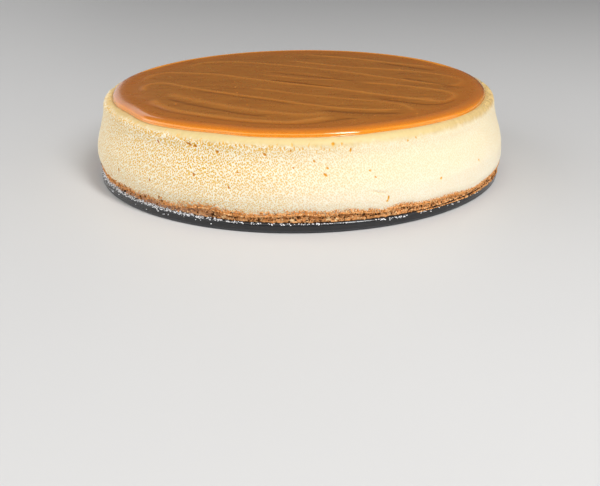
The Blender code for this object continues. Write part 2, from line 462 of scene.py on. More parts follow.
caramel = {
    "steps": 560,
    "topRings": 112,
    "edgeRings": 24,
    "edgeWidth": 6.4,
    "edgeSharpness": 3.0,        # higher is flatter on top and rounder at its edge
    "edgeRoundness": 2.0,
    "strokeHeight": 0.22,
    "waviness": 0.05,
    "lineLean": -22.0,                # of the fine lines, and their spacing
    "lineSpacing": 2.2,
    "frontBorder": (-138.0, -38.0),   # here the border, painted lighter as if lit, begins with a hard line, elsewhere it fades in
    "footSpread": 0.45,               # how far the foot runs out over the cheese
    "sink": 0.28,                     # how far the underside lies in the cheese
    "settle": 0.16,                   # the plain top lies this far below the highest ridge
    "topColour": (0.362, 0.127, 0.017),
    "lineColour": (0.170, 0.050, 0.005),      # fine dark lines beside the strokes
    # painted sheen: the spatula's ridges are coloured lighter, as where they catch the light; the same colour also
    # tints random streaks
    "streakAndSheenColour": (0.580, 0.218, 0.036),
    # painted shade in the spatula's grooves
    "grooveShadeColour": (0.200, 0.060, 0.006),
    "marginColour": (0.440, 0.130, 0.014),
    # painted light: the border is coloured brighter orange than the top, as where it faces the lamps
    "litEdgeColour": (0.650, 0.195, 0.017),
    "footGlowColour": (0.960, 0.330, 0.020),       # painted glow: a bright orange line at the caramel's foot
}

# Where the spatula passed: points along each ridge that it left, then height and half width.
spatulaRidges = (
    (((-68, 48), (-66, 56), (-58, 63), (-40, 64), (-22, 58), (-6, 50), (14, 39), (34, 26), (46, 16), (60, 6),
      (74, -4), (86, -10), (92, -6), (94, 2), (91, 12), (80, 22), (68, 30), (52, 37), (34, 43), (22, 49),
      (6, 59), (-8, 67)), 0.9, 1.7),
    (((2, 88), (24, 77), (42, 67), (60, 54), (74, 46), (86, 36)), 1.0, 1.9),
    (((-91, 10), (-88, 24), (-80, 33), (-66, 31), (-48, 26), (-36, 18), (-20, 8), (-4, -2), (14, -11),
      (30, -21), (46, -32), (60, -40), (72, -47), (79, -45), (83, -38), (84, -31), (79, -23), (67, -14),
      (52, -6), (34, 1)), 1.0, 1.7),
    (((-85, -18), (-88, -6), (-84, 3), (-76, 3), (-62, -8), (-46, -19), (-26, -32), (-10, -42), (6, -52),
      (22, -60), (38, -64), (54, -64)), 1.0, 1.6),
    (((-30, -10), (-18, -16), (-2, -26), (14, -34), (34, -43), (46, -48), (54, -54), (58, -64), (59, -71)),
     0.7, 1.5),
    (((-70, -19), (-68, -27), (-58, -36), (-44, -48), (-30, -58), (-16, -66), (2, -72), (18, -70)), 0.8, 3.2),
    (((-78, -34), (-75, -46), (-64, -60), (-46, -72), (-26, -82), (-6, -87), (6, -83), (18, -77)), 1.2, 2.6),
    (((-26, 26), (-12, 20), (2, 12), (18, 8), (32, 3)), 0.7, 1.6),
    (((-26, 36), (-6, 31), (14, 20), (22, 10)), 0.5, 1.3),
    (((60, -40), (68, -41), (76, -48)), 0.7, 2.6),
)
# The same for each groove.
spatulaGrooves = (
    (((6, 86), (34, 82)), 0.8, 1.8),
    (((50, 57), (68, 42), (86, 28)), 0.9, 2.0),
    (((58, 14), (74, 0), (88, -14), (96, -12)), 0.7, 2.0),
    (((-20, 11), (-6, 4), (8, -4), (22, -12)), 1.3, 1.3),
    (((-20, 33), (-6, 25), (8, 18), (24, 9), (36, 2)), 0.8, 1.5),
    (((40, -39), (54, -47), (66, -54), (75, -53), (81, -47), (84, -40)), 1.2, 1.2),
    (((-60, -14), (-40, -27), (-22, -38), (0, -52)), 0.7, 1.6),
    (((8, -62), (24, -68), (38, -71), (56, -71)), 0.9, 2.2),
    (((-73, -32), (-58, -47), (-40, -61), (-26, -71), (-12, -76)), 0.9, 1.6),
    (((-79, -46), (-66, -63), (-46, -76), (-26, -86), (-4, -91), (14, -88)), 0.9, 1.4),
    (((6, -90), (22, -82), (32, -79)), 0.9, 1.4),
)


def alongPath(points, path, width):
    # 1 on the path and less beside it, fading out towards both of its ends
    run = smoothPath(path)
    gone = np.clip(np.arange(len(run)) / 9.0, 0.0, 1.0)
    strength = fade(gone, 0.0, 1.0) * fade(gone[::-1], 0.0, 1.0)
    best = np.zeros(len(points))
    for spot, share in zip(run, strength):
        off = ((points[:, 0] - spot[0]) ** 2 + (points[:, 1] - spot[1]) ** 2) / width ** 2
        best = np.maximum(best, share * np.exp(-off))
    return best


def caramelOutline(reach, flat):
    # rings from the top's middle over the rounded border, down a foot that runs out over the cheese, and in
    c = caramel
    foot = caramelLow + footHeight
    topShare = (np.arange(1, c["topRings"] + 1) / c["topRings"]) ** 0.93
    topRadius = topShare[:, None] * flat[None, :]
    inShare = np.sin(np.radians(np.linspace(0.0, 90.0, c["edgeRings"] + 1)[1:]))  # share of the border's width
    fall = (1.0 - inShare ** c["edgeSharpness"]) ** (1.0 / c["edgeRoundness"])
    edgeRadius = flat[None, :] + c["edgeWidth"] * inShare[:, None]
    edgeHeight = foot + (caramelHigh - caramelLow - footHeight) * fall
    turn = np.radians([30.0, 60.0, 90.0])[:, None]                                # from upright to level
    footRadius = reach[None, :] + c["footSpread"] * (1.0 - np.cos(turn))
    footFall = foot - (footHeight + c["sink"]) * np.sin(turn[:, 0])
    radius = np.vstack([topRadius, edgeRadius, footRadius, 0.5 * reach[None, :]])
    topHeight = np.full(c["topRings"], caramelHigh)
    height = np.concatenate([topHeight, edgeHeight, footFall, [caramelLow - c["sink"]]])
    return radius, np.repeat(height[:, None], c["steps"], axis=1)


def borderShare(signed, inBorder, behind):
    # 0 on the top and 1 in the border, which begins with a hard line at the front and fades in elsewhere; the border
    # is painted brighter orange as if lit
    first, last = caramel["frontBorder"]
    hard = fade(signed, first - 14.0, first + 6.0) * (1.0 - fade(signed, last - 8.0, last + 16.0))
    left = fade(-np.cos(np.radians(signed)), 0.75, 0.95)
    soft = fade(inBorder, -0.25 + 0.1 * behind + 0.45 * left, 0.95 - 0.4 * behind + 0.1 * left) ** 1.2
    return hard * fade(inBorder, -0.02, 0.07) + (1.0 - hard) * soft


def makeCaramel():
    c = caramel
    angles = np.arange(c["steps"]) * 360.0 / c["steps"]
    reach = readRound(caramelReach, angles)
    flat = reach - c["edgeWidth"]
    radius, height = caramelOutline(reach, flat)
    points = pointsAt(radius, angles[None, :], height)
    onTop = (fade(flat[None, :] + 0.5 - radius, 0.0, 6.0) * (height > caramelHigh - 0.5)).ravel()
    stroke = sum(size * alongPath(points, path, width) for path, size, width in spatulaRidges)
    groove = sum(size * alongPath(points, path, width) for path, size, width in spatulaGrooves)
    slow = roughNoise(points * np.array([1.0, 1.0, 4.0]), 17.0)
    leant = points @ np.array([[0.945, 0.326, 0], [-0.326, 0.945, 0], [0, 0, 1]])
    streaks = smoothNoise(leant * np.array([0.16, 1.0, 1.0]), 2.6)
    relief = c["strokeHeight"] * (stroke - 0.8 * groove) + c["waviness"] * (slow + 0.35 * streaks) - c["settle"]
    height += (relief * onTop).reshape(height.shape)
    inBorder = (radius - flat[None, :]) / c["edgeWidth"]
    edgeSwell = smoothNoise(points, 9.0).reshape(radius.shape) * 0.07
    radius += edgeSwell * fade(inBorder, 0.1, 0.9)
    signed = turnOff(angles, 0.0)[None, :]
    behind = fade(np.sin(np.radians(signed)), 0.15, 0.5)
    border = borderShare(signed, inBorder, behind)
    upper = height > caramelLow + 1.0
    values = {
        "stroke": np.clip(stroke, 0.0, 1.3).reshape(radius.shape) * upper,
        "groove": np.clip(groove, 0.0, 1.3).reshape(radius.shape) * upper,
        "border": border,
        "gloss": border * (1.0 - 0.85 * behind),
        # painted glow at the foot of the border, strongest at the back
        "lip": fade(inBorder, 0.82 - 0.95 * behind, 0.98 - 0.72 * behind) * (0.7 + 0.3 * behind),
        "margin": fade(inBorder, -2.6, -0.25),
        "streak": (0.5 + 0.5 * streaks).reshape(radius.shape),
    }
    height = np.minimum(height, caramelHigh)
    middle, under = caramelHigh - c["settle"], caramelLow - c["sink"]
    piece = turnedPiece("caramel", radius, height, angles, middle, under, values)
    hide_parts("caramel_topping")
    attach(piece, "root")
    return piece


def fineLines(finish):
    # 0 to 1 in fine lines that lean with the spatula's strokes
    lean = (0.0, 0.0, math.radians(caramel["lineLean"]))
    leant = finish.node("ShaderNodeMapping", {"Rotation": lean, "Scale": (0.11, 1.0, 1.0)})
    finish.feed(finish.objectPlace(), leant.inputs["Vector"])
    scale = 1000.0 / caramel["lineSpacing"]
    fine = finish.node("ShaderNodeTexNoise", {"Scale": scale, "Detail": 3.0, "Roughness": 0.65})
    finish.feed(leant.outputs[0], fine.inputs["Vector"])
    return fine.outputs["Fac"]


def caramelFinish(name="caramel_set"):
    c = caramel
    finish = Finish(name, Roughness=0.2, IOR=1.47, Specular_IOR_Level=0.32, Subsurface_Weight=0.12,
                    Subsurface_Scale=0.01, Coat_Roughness=0.06)
    finish.shader.inputs["Subsurface Radius"].default_value = (0.30, 0.12, 0.04)
    grain = finish.group(grainGroup, Patch_Size=9.0, Grain_Size=0.55, Grain_Share=0.35)
    streaks = finish.spread(finish.value("streak"), 0.2, 0.8, 0.0, 0.16)
    colour = finish.mix(streaks, c["topColour"], c["streakAndSheenColour"])
    lines = fineLines(finish)
    colour = finish.mix(finish.spread(lines, 0.48, 0.30, 0.0, 0.45), colour, c["lineColour"])
    # painted sheen along the ridges
    colour = finish.mix(finish.spread(finish.value("stroke"), 0.05, 1.0, 0.0, 0.75), colour, c["streakAndSheenColour"])
    # painted shade in the grooves
    colour = finish.mix(finish.spread(finish.value("groove"), 0.1, 1.1), colour, c["grooveShadeColour"])
    colour = finish.mix(finish.math("MULTIPLY", finish.value("margin"), 0.6), colour, c["marginColour"])
    border, gloss = finish.value("border"), finish.value("gloss")
    # painted light: the border brighter orange, the top left darker
    colour = finish.mix(border, colour, c["litEdgeColour"])
    # painted glow: bright orange line along the caramel's foot
    colour = finish.mix(finish.value("lip"), colour, c["footGlowColour"])
    shade = finish.spread(grain.outputs["Grain"], 0.0, 1.0, 0.80, 1.20)
    shadeColour = finish.node("ShaderNodeCombineColor")
    for index in range(3):
        finish.feed(shade, shadeColour.inputs[index])
    colour = finish.mix(1.0, colour, shadeColour.outputs[0], "MULTIPLY")
    finish.link(colour, "Base Color")
    rough = finish.spread(grain.outputs["Tone"], 0.0, 1.0, 0.25, 0.33)
    finish.link(finish.math("SUBTRACT", rough, finish.math("MULTIPLY", gloss, 0.17)), "Roughness")
    finish.link(finish.math("MULTIPLY", gloss, 0.8), "Coat Weight")
    inTop = finish.spread(border, 0.0, 0.6, 1.0, 0.0)
    low = finish.math("MULTIPLY", grain.outputs["Height"], 0.5)
    finish.bump(finish.math("ADD", low, finish.math("MULTIPLY", lines, inTop)), 0.25, 0.10)
    return finish


caramelPiece = caramelFinish().onto(makeCaramel())
report("caramel spread")


# Cheese filling: smooth skin round the top edge, and a side of small torn pores where the tin came away.

cheese = {
    "steps": 1500,
    "wallRings": 66,
    "shoulderCentre": 105.9,       # radius of the middle that the shoulder is rounded about
    "skinLow": 42.4,               # the skin ends at this height
    "poreGrid": (620, 30),         # pores round the side and up it, before some are left out
    "poreLength": (0.30, 0.60),    # half lengths, shortest and longest
    "poreWidth": (0.22, 0.34),
    "poreDepth": (0.06, 0.20),
    "dashCount": 400,              # upright dashes just under the skin
    "wrinkleDepth": 0.14,
    "shoulderRoughness": 1.25,
    "creamColour": (0.900, 0.790, 0.560),
    "tornColour": (0.950, 0.890, 0.720),     # between the pores where they are dense
    "skinColour": (0.735, 0.555, 0.232),
    "shadedSideSkinColour": (0.672, 0.455, 0.162), # painted shade on the skin beyond the cake's front
    "footShadowColour": (0.380, 0.220, 0.060),     # painted shadow beside the caramel's foot
    # painted shade in the skin's wrinkles
    "wrinkleShadeColour": (0.500, 0.320, 0.100),
    # painted shade: the pores, dashes, creases and pits are coloured darker orange for the shade inside them
    "poreShadeColour": (0.770, 0.430, 0.008),
    "dashShadeColour": (0.800, 0.410, 0.008),
    "pitShadeColour": (0.600, 0.220, 0.006),
    "palePitShadeColour": (0.880, 0.450, 0.020),  # painted shade in the pits where the side is smooth
    # painted light: the lower side paler, as lit by light bounced up from the table
    "footBounceLightColour": (0.940, 0.860, 0.690),
    "stainColour": (0.560, 0.300, 0.110),
}
# How strongly the fine pores show round the side, partly real and partly painted shade that is strongest on the left
# where light grazes: angle and share.
poreAndShadeSpread = (
    (-180, 0.45), (-165, 0.55), (-152, 0.85), (-138, 1.0), (-112, 1.0), (-98, 0.80), (-86, 0.50), (-72, 0.32),
    (-50, 0.20), (-20, 0.20), (20, 0.45), (60, 0.8), (120, 0.9), (160, 0.6), (180, 0.45),
)

# How strongly the skin is wrinkled: angle and share.
wrinkleSpread = (
    (-180, 0.40), (-160, 0.45), (-135, 0.30), (-100, 0.10), (-60, 0.10), (-38, 0.50), (-22, 1.0), (30, 1.0),
    (60, 0.6), (120, 0.5), (180, 0.40),
)

# Single holes that stand out: angle, height, half length, half width, tilt from level, depth.
cheesePits = (
    (-118.4, 40.0, 2.0, 0.50, -18, 0.9), (-116.6, 39.4, 1.0, 0.65, 10, 0.9), (-128.6, 38.4, 1.0, 0.60, -55, 0.9),
    (-110.5, 37.9, 0.85, 0.65, 15, 1.0), (-98.4, 38.0, 1.2, 0.55, -35, 0.8), (-143.8, 17.8, 1.7, 0.50, 92, 1.0),
    (-116.5, 26.1, 1.0, 0.55, -60, 1.1), (-81.8, 42.6, 0.9, 0.75, 20, 1.0), (-79.6, 42.4, 0.6, 0.45, 80, 0.7),
    (-77.5, 39.2, 1.2, 0.50, 75, 0.9), (-83.9, 28.6, 1.15, 0.60, -35, 1.0), (-83.3, 31.5, 0.75, 0.50, -30, 0.8),
    (-86.5, 34.9, 0.70, 0.45, -40, 0.7), (-53.0, 19.7, 0.80, 0.60, 30, 0.9), (-36.9, 21.6, 0.85, 0.45, 85, 0.8),
    (-130.2, 19.1, 0.75, 0.50, -50, 0.8), (-107.0, 22.1, 0.80, 0.50, -60, 0.8), (-68.6, 15.4, 1.3, 0.50, 80, 0.9),
    (-68.9, 13.9, 0.8, 0.40, 10, 0.6), (-149.4, 12.4, 1.1, 0.60, -45, 0.9), (-105.0, 29.3, 0.6, 0.40, 40, 0.6),
    (-92.1, 39.9, 0.6, 0.45, -70, 0.6), (-72.9, 29.1, 0.55, 0.45, 0, 0.6), (-71.6, 25.9, 0.55, 0.45, 0, 0.6),
    (-91.5, 32.0, 0.6, 0.4, -40, 0.6), (-62.0, 40.5, 0.6, 0.4, 60, 0.6), (-59.5, 41.5, 0.6, 0.4, 60, 0.6),
)
pitTrim = np.array([1.0, 1.0, 0.85, 0.85, 1.0, 0.6])     # makes up for the soft edges of the hollows

# Creases: angle and height of points along each, then half width and depth.
cheeseCreases = (
    (((-72.5, 19.6), (-71.6, 18.9), (-70.8, 18.3), (-69.6, 18.1)), 0.4, 0.35),
    (((-141.5, 40.3), (-141.0, 39.0), (-140.9, 37.9)), 0.4, 0.4),
)


def leftRise(angle):
    # the skin ends this much higher at the cake's left
    return 1.5 * (1.0 - fade(np.abs(turnOff(angle, 200.0)), 15.0, 50.0))


# Where crumbs stuck to the cheese above the crust: angle and share.
straySpread = (
    (-180, 0.5), (-150, 0.3), (-125, 0.35), (-118, 0.8), (-109, 0.9), (-102, 0.5), (-95, 0.4), (-89, 0.6),
    (-85, 0.5), (-80, 0.8), (-73, 0.8), (-70, 0.6), (-66, 1.15), (-60, 1.15), (-56, 0.6), (-52, 0.9),
    (-46, 0.8), (-40, 0.5), (-30, 0.6), (0, 0.5), (90, 0.6), (180, 0.5),
)


def crumbCluster(angle):
    # how far up crumbs stuck to the cheese above the crust, from 0 to a little over 1
    uneven = fade(smoothNoise(pointsAt(girthRadius, angle, 0.0), 2.6), -0.35, 0.40)
    return readSpread(straySpread, angle) * (0.45 + 0.55 * uneven)


def shoulderRings(angles):
    # the rounded shoulder, read from the solid along rays towards its centre
    rows = []
    for arc in np.linspace(85.0, 4.0, 11):
        row = []
        for a in readAngles:
            out = Vector((math.cos(math.radians(a)), math.sin(math.radians(a)), 0.0))
            ray = -(out * math.cos(math.radians(arc)) + Vector((0, 0, math.sin(math.radians(arc)))))
            centre = out * cheese["shoulderCentre"] + Vector((0, 0, shoulderLow - 1.0))
            spot = cheeseTree.ray_cast(centre - ray * 20.0, ray)[0]
            row.append((spot.xy.length, spot.z))
        rows.append(row)
    radius, height = smoothRound(np.moveaxis(np.array(rows), 2, 0), 1.6)
    return readRound(radius, angles), readRound(height, angles)


def cheeseOutline(angles, line):
    # rings from the top's middle out, over the shoulder, down to just inside the crust's top line and in;
    # the third result is the first ring that may be carved
    c = cheese
    topRadius = np.concatenate([[40.0, 90.0], np.arange(102.0, 106.3, 0.35)])
    topHeight = np.full(len(topRadius), cheeseTop)
    arcRadius, arcHeight = shoulderRings(angles)
    share = (np.arange(1, c["wallRings"] + 1) / c["wallRings"])[:, None]
    lowest = line - 0.1
    wallHeight = arcHeight[-1] + (lowest - arcHeight[-1]) * share
    side = wallRadius(angles[None, :], wallHeight)
    side = side - 0.5 * (1.0 - fade(wallHeight, line[None, :] - 0.2, line[None, :] + 1.3))
    radius = np.vstack([np.repeat(topRadius[:, None], c["steps"], 1), arcRadius, side,
                        side[-1:] - 1.6, np.full((1, c["steps"]), 90.0)])
    height = np.vstack([np.repeat(topHeight[:, None], c["steps"], 1), arcHeight, wallHeight,
                        lowest[None, :] - 0.25, np.full((1, c["steps"]), crustTop)])
    return radius, height, len(topRadius) + 3


class Carving:
    # presses slanted ovals into the rings of the side, and keeps how deep each point has gone
    def __init__(self, height, firstRow):
        self.height = height
        self.firstRow = firstRow
        self.lastRow = height.shape[0] - 3
        self.steps = height.shape[1]
        self.spacing = 360.0 / self.steps
        self.depth = np.zeros(height.shape)

    def press(self, angle, level, halfLength, halfWidth, tilt, deep, mark):
        # all are arrays with one entry for each oval, but mark, where each point's share of a hollow is kept
        step = np.round(angle / self.spacing).astype(int)
        row = np.empty(len(angle), int)
        for k in range(len(angle)):
            column = self.height[self.firstRow:self.lastRow, step[k] % self.steps]
            row[k] = self.firstRow + np.argmin(np.abs(column - level[k]))
        reach = int(np.ceil(halfLength.max() / 0.55)) + 2
        cosTilt, sinTilt = np.cos(np.radians(tilt)), np.sin(np.radians(tilt))
        for rowsOff in range(-reach, reach + 1):
            for stepsOff in range(-reach, reach + 1):
                r = np.clip(row + rowsOff, self.firstRow, self.lastRow)
                s = (step + stepsOff) % self.steps
                dx = turnOff(s * self.spacing, angle) * math.pi / 180.0 * girthRadius
                dz = self.height[r, s] - level
                lengthwise = (dx * cosTilt + dz * sinTilt) / halfLength
                across = (-dx * sinTilt + dz * cosTilt) / halfWidth
                hollow = np.exp(-(lengthwise ** 2 + across ** 2) ** 1.3)
                np.maximum.at(self.depth, (r, s), deep * hollow)
                np.maximum.at(mark, (r, s), hollow)


def carvePores(carving, mark, rng):
    # everywhere on the side, thinning out to the right and towards the foot
    c = cheese
    across, up = c["poreGrid"]
    column, row = [v.ravel().astype(float) for v in np.meshgrid(np.arange(across), np.arange(up))]
    count = len(column)
    angle = (column + 0.5 * (row % 2) + rng.uniform(-0.42, 0.42, count)) * 360.0 / across - 180.0
    level = 10.0 + (row + 0.5 + rng.uniform(-0.42, 0.42, count)) * (c["skinLow"] - 10.0) / up
    thin = 0.62 * fade(angle, -100.0, -55.0) * fade(-angle, -70.0, 10.0)
    thin = thin + 0.35 * (1 - fade(level, 12.0, 26.0))
    keep = rng.uniform(0.0, 1.0, count) > thin
    angle, level = angle[keep], level[keep]
    count = len(angle)
    strength = rng.uniform(0.0, 1.0, count) ** 1.6
    lengths = between(c["poreLength"], rng.uniform(0, 1, count))
    widths = between(c["poreWidth"], rng.uniform(0, 1, count))
    tilts = rng.normal(-58.0, 24.0, count)
    deeps = between(c["poreDepth"], strength) * (0.25 + 0.75 * readSpread(poreAndShadeSpread, angle))
    carving.press(angle, level, lengths, widths, tilts, deeps, mark)


def carveDashes(carving, mark, rng):
    # a row of upright dashes where the skin ends
    count = cheese["dashCount"]
    angle = (np.arange(count) + rng.uniform(-0.4, 0.4, count)) * 360.0 / count - 180.0
    level = cheese["skinLow"] - 1.0 + leftRise(angle) + rng.normal(0.0, 1.1, count)
    lengths, widths = rng.uniform(0.5, 1.1, count), rng.uniform(0.28, 0.42, count)
    tilts, deeps = rng.normal(88.0, 20.0, count), rng.uniform(0.15, 0.45, count)
    carving.press(angle, level, lengths, widths, tilts, deeps, mark)


def carveCreases(carving, mark):
    for path, width, deep in cheeseCreases:
        run = smoothPath([(a * math.pi / 180.0 * girthRadius, h) for a, h in path], 0.4)
        angle = run[:, 0] / girthRadius * 180.0 / math.pi
        many = np.ones(len(run))
        carving.press(angle, run[:, 1], 0.6 * many, width * many, 0 * many, deep * many, mark)


def makeCheese():
    c = cheese
    angles = np.arange(c["steps"]) * 360.0 / c["steps"]
    line = readRound(crustLine, angles)
    radius, height, firstRow = cheeseOutline(angles, line)
    fromBack = (angles + 270.0) % 360.0                         # the side's own measure starts at the back
    along = np.repeat(np.radians(fromBack)[None, :] * girthRadius, radius.shape[0], 0)
    onSide = (radius > 104.0) & (np.arange(radius.shape[0])[:, None] < radius.shape[0] - 2)
    pore, dash, pit = (np.zeros(radius.shape) for kind in range(3))
    rng = np.random.default_rng(5)
    carving = Carving(height, firstRow)
    carvePores(carving, pore, rng)
    carveDashes(carving, dash, rng)
    carving.press(*(np.array(cheesePits) * pitTrim).T, pit)
    carveCreases(carving, pore)
    flat = pointsAt(radius, angles[None, :], height)
    lumps = roughNoise(flat, 5.0).reshape(radius.shape)
    fine = smoothNoise(flat, 0.9).reshape(radius.shape)
    uneven = smoothNoise(flat, 1.3).reshape(radius.shape)
    calm = fade(height, c["skinLow"] + 0.8, c["skinLow"] - 1.2)
    radius -= onSide * (carving.depth + 0.045 * calm * (fine + 1.0) + 0.05 * (lumps + 1.2))
    # skin: fine wrinkles that run over the shoulder, and a knobbly edge towards both sides and the back
    shoulder = fade(height, 40.3, 42.8) * (radius > 104.0)
    roundSide = (along + 0.55 * (cheeseTop - height) + 0.9 * lumps) / 1.05
    slanted = np.stack([roundSide, (height + radius) / 3.0, np.zeros(radius.shape)], -1).reshape(-1, 3)
    lines = 1.0 - np.abs(smoothNoise(slanted, 1.0)).reshape(radius.shape)
    wrinkle = readSpread(wrinkleSpread, angles)[None, :] * lines ** 5 * shoulder
    knobs = np.clip(1.3 * uneven + 0.2, 0.0, 1.0) * shoulder
    knobs = knobs * (1.0 - 0.85 * fade(-np.sin(np.radians(angles)), 0.15, 0.6))[None, :]
    inward = c["wrinkleDepth"] * wrinkle + c["shoulderRoughness"] * knobs
    radius -= onSide * inward
    height = height - 0.5 * inward * (height > shoulderLow)
    reachDown = 1.0 + 1.6 * (fade(angles, 250.0, 290.0) * (1.0 - fade(angles, 345.0, 359.0)))[None, :]
    skinHeight = height + (0.7 * uneven + 0.5 * lumps) - leftRise(angles)[None, :]
    skin = fade(skinHeight, c["skinLow"] - reachDown, c["skinLow"] + 0.8) ** 1.3 * (radius > 100.0)
    fromFront = turnOff(angles, -90.0)
    fromFoot = radius - readRound(caramelReach, angles)[None, :] - 0.5
    # painted shadow: a dark line on the cheese beside the caramel's foot, at the left
    footShadow = np.exp(-(fromFoot / 0.45) ** 2) * (height > shoulderLow)
    # share also sets the painted shade in the pores, stronger on the left
    share = readSpread(poreAndShadeSpread, angles)[None, :] * np.ones(radius.shape)
    stainTop = line + 1.2 + 2.6 * crumbCluster(angles)
    values = {
        # painted shade: the skin darker and more olive away from the front
        "shadedSides": np.repeat(fade(np.abs(fromFront), 20.0, 64.0)[None, :], radius.shape[0], 0),
        "footShadow": footShadow * fade(fromFront, -15.0, -40.0)[None, :],
        "pore": np.clip(pore, 0.0, 1.0) * onSide,
        "pit": np.clip(pit, 0.0, 1.0) * onSide,
        "dash": np.clip(dash, 0.0, 1.0) * onSide * fade(share, 0.15, 0.75),
        "skin": skin,
        "wrinkle": wrinkle,
        # the lower side, also painted paler as bounced light
        "foot": (1.0 - fade(height, 12.0, 30.0)) * onSide,
        "share": share,
        "stain": (1.0 - fade(height, line + 0.3, stainTop)) * onSide,
        "along": along * mm,
        "level": height * mm,
    }
    piece = turnedPiece("cheese", radius, height, angles, cheeseTop, crustTop, values)
    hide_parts("cheese_filling")
    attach(piece, "root")
    return piece


def cheesePores(finish, bare):
    # fine specks on the side, slanted as they are in the photograph and fainter near the foot
    # the specks are coloured as painted shade inside the pores
    coarse = finish.specks(finish.sidePlace(58.0, 1.35), flatSpeckGroup, Spacing=0.90, Size=0.39, Share=0.92)
    fine = finish.specks(finish.sidePlace(64.0, 1.2), flatSpeckGroup, Spacing=0.72, Size=0.30, Share=0.55)
    faint = finish.math("MULTIPLY", fine.outputs["Specks"], 0.8)
    both = finish.math("MAXIMUM", coarse.outputs["Specks"], faint)
    fadeDown = finish.spread(finish.value("foot"), 0.0, 1.0, 0.98, 0.70)
    return finish.math("MULTIPLY", both, finish.math("MULTIPLY", bare, fadeDown))


def cheeseFinish():
    c = cheese
    finish = Finish("baked_cream_cheese", Roughness=0.55, IOR=1.42, Specular_IOR_Level=0.35,
                    Subsurface_Weight=0.06, Subsurface_Scale=0.01)
    finish.shader.inputs["Subsurface Radius"].default_value = (0.12, 0.08, 0.04)
    grain = finish.group(grainGroup, Patch_Size=14.0, Grain_Size=0.7, Grain_Share=0.8)
    share, skinned, dash = finish.value("share"), finish.value("skin"), finish.value("dash")
    bare = finish.math("MULTIPLY", share, finish.spread(skinned, 0.0, 1.0, 1.0, 0.0))
    pores = cheesePores(finish, bare)
    # painted light on the lower side
    colour = finish.mix(finish.value("foot"), c["creamColour"], c["footBounceLightColour"])
    colour = finish.mix(bare, colour, c["tornColour"])
    colour = finish.mix(finish.spread(grain.outputs["Tone"], 0.0, 1.0, 0.0, 0.10), colour, c["skinColour"])
    # painted shade in the pores
    colour = finish.mix(pores, colour, c["poreShadeColour"])
    hollows = finish.spread(finish.value("pore"), 0.30, 0.95)
    meshPores = finish.math("MULTIPLY", hollows, finish.spread(share, 0.15, 0.9, 0.12, 0.60))
    colour = finish.mix(meshPores, colour, c["poreShadeColour"])
    # painted shade in the dashes
    colour = finish.mix(finish.spread(dash, 0.05, 0.55, 0.0, 0.80), colour, c["dashShadeColour"])
    grains = finish.spread(grain.outputs["Grain"], 0.35, 0.75, 0.0, 0.6)
    colour = finish.mix(finish.math("MULTIPLY", finish.value("stain"), grains), colour, c["stainColour"])
    # painted shade on the skin at the sides
    skin = finish.mix(finish.value("shadedSides"), c["skinColour"], c["shadedSideSkinColour"])
    skinShare = finish.math("MULTIPLY", skinned, finish.spread(dash, 0.05, 0.55, 0.85, 0.1))
    colour = finish.mix(skinShare, colour, skin)
    # painted shade in the wrinkles
    colour = finish.mix(finish.math("MULTIPLY", finish.value("wrinkle"), 0.9), colour, c["wrinkleShadeColour"])
    # painted shadow beside the caramel's foot
    colour = finish.mix(finish.math("MULTIPLY", finish.value("footShadow"), 0.8), colour, c["footShadowColour"])
    # painted shade in the pits, darker on the left
    pitShadeColour = finish.mix(share, c["palePitShadeColour"], c["pitShadeColour"])
    colour = finish.mix(finish.spread(finish.value("pit"), 0.10, 0.50, 0.0, 1.0), colour, pitShadeColour)
    finish.link(colour, "Base Color")
    finish.link(finish.spread(skinned, 0.0, 1.0, 0.62, 0.42), "Roughness")
    height = finish.math("SUBTRACT", finish.math("MULTIPLY", grain.outputs["Height"], 0.4), pores)
    finish.bump(height, 0.45, 0.25)
    return finish


cheeseFinish().onto(makeCheese())
report("cheese filling baked")


# Crumb crust: a rough pressed wall, with loose grains along it, on the cheese above and on the tin's ledge.

crust = {
    "steps": 1400,
    "sideRings": 14,
    "crag": 0.42,
    "crumbs": 6000,
    "strays": 9600,
    "fallen": 400,
    "draped": 520,                   # over the tin's edge at the right
    "drapedFrom": (-60.0, -16.0),
    "clumpCrumbs": 8,
    "crumbSize": (0.28, 0.74),       # half sizes
    "limit": 116.1,                  # the grains stay within this radius
    "smoothStretch": (-134.0, 22.0), # here the tin's wall left the crust smooth: middle and half width
    "smoothTop": (-32.0, 17.0),      # here only the upper half of it
    "mainColour": (0.860, 0.395, 0.138),
    "lightColour": (1.000, 0.740, 0.400),
    "darkColour": (0.050, 0.014, 0.003),
    "smoothColour": (0.430, 0.245, 0.165),
    "warmColour": (0.740, 0.265, 0.032),     # of the strays
}

# Clumps of crumbs that stuck to the cheese above the crust: angle and height.
crumbClumps = (
    (-153.1, 8.8), (-149.6, 8.8), (-145.5, 9.2), (-142.0, 9.9), (-139.5, 9.0), (-133.1, 9.0), (-127.3, 11.1),
    (-126.5, 9.5), (-21.1, 7.2), (-21.2, 5.9), (-23.2, 5.9), (-26.2, 7.1), (-28.9, 9.0), (-30.4, 8.0),
    (-31.0, 7.4), (-37.5, 9.0), (-42.5, 7.9), (-46.5, 8.6), (-45.0, 9.7), (-49.1, 8.5),
)


def smoothShare(angle, above):
    # where the tin's wall left the crust smooth, with above 0 at its foot and 1 at its top line
    middle, width = crust["smoothStretch"]
    second, reach = crust["smoothTop"]
    whole = np.exp(-(turnOff(angle, middle) / width) ** 4)
    band = fade(above, 0.40, 0.60) * (1.0 - fade(above, 0.88, 1.0))
    upper = np.exp(-(turnOff(angle, second) / reach) ** 4) * band
    return np.maximum(whole, upper)


def ledgeLevel(across):
    # height of the tin's ledge and its rounded edge at an array of radii
    over = np.clip(across - (baseBox[1].x - tinCorner), 0.0, tinCorner)
    return baseBox[1].z - tinCorner + np.sqrt(tinCorner ** 2 - over ** 2)


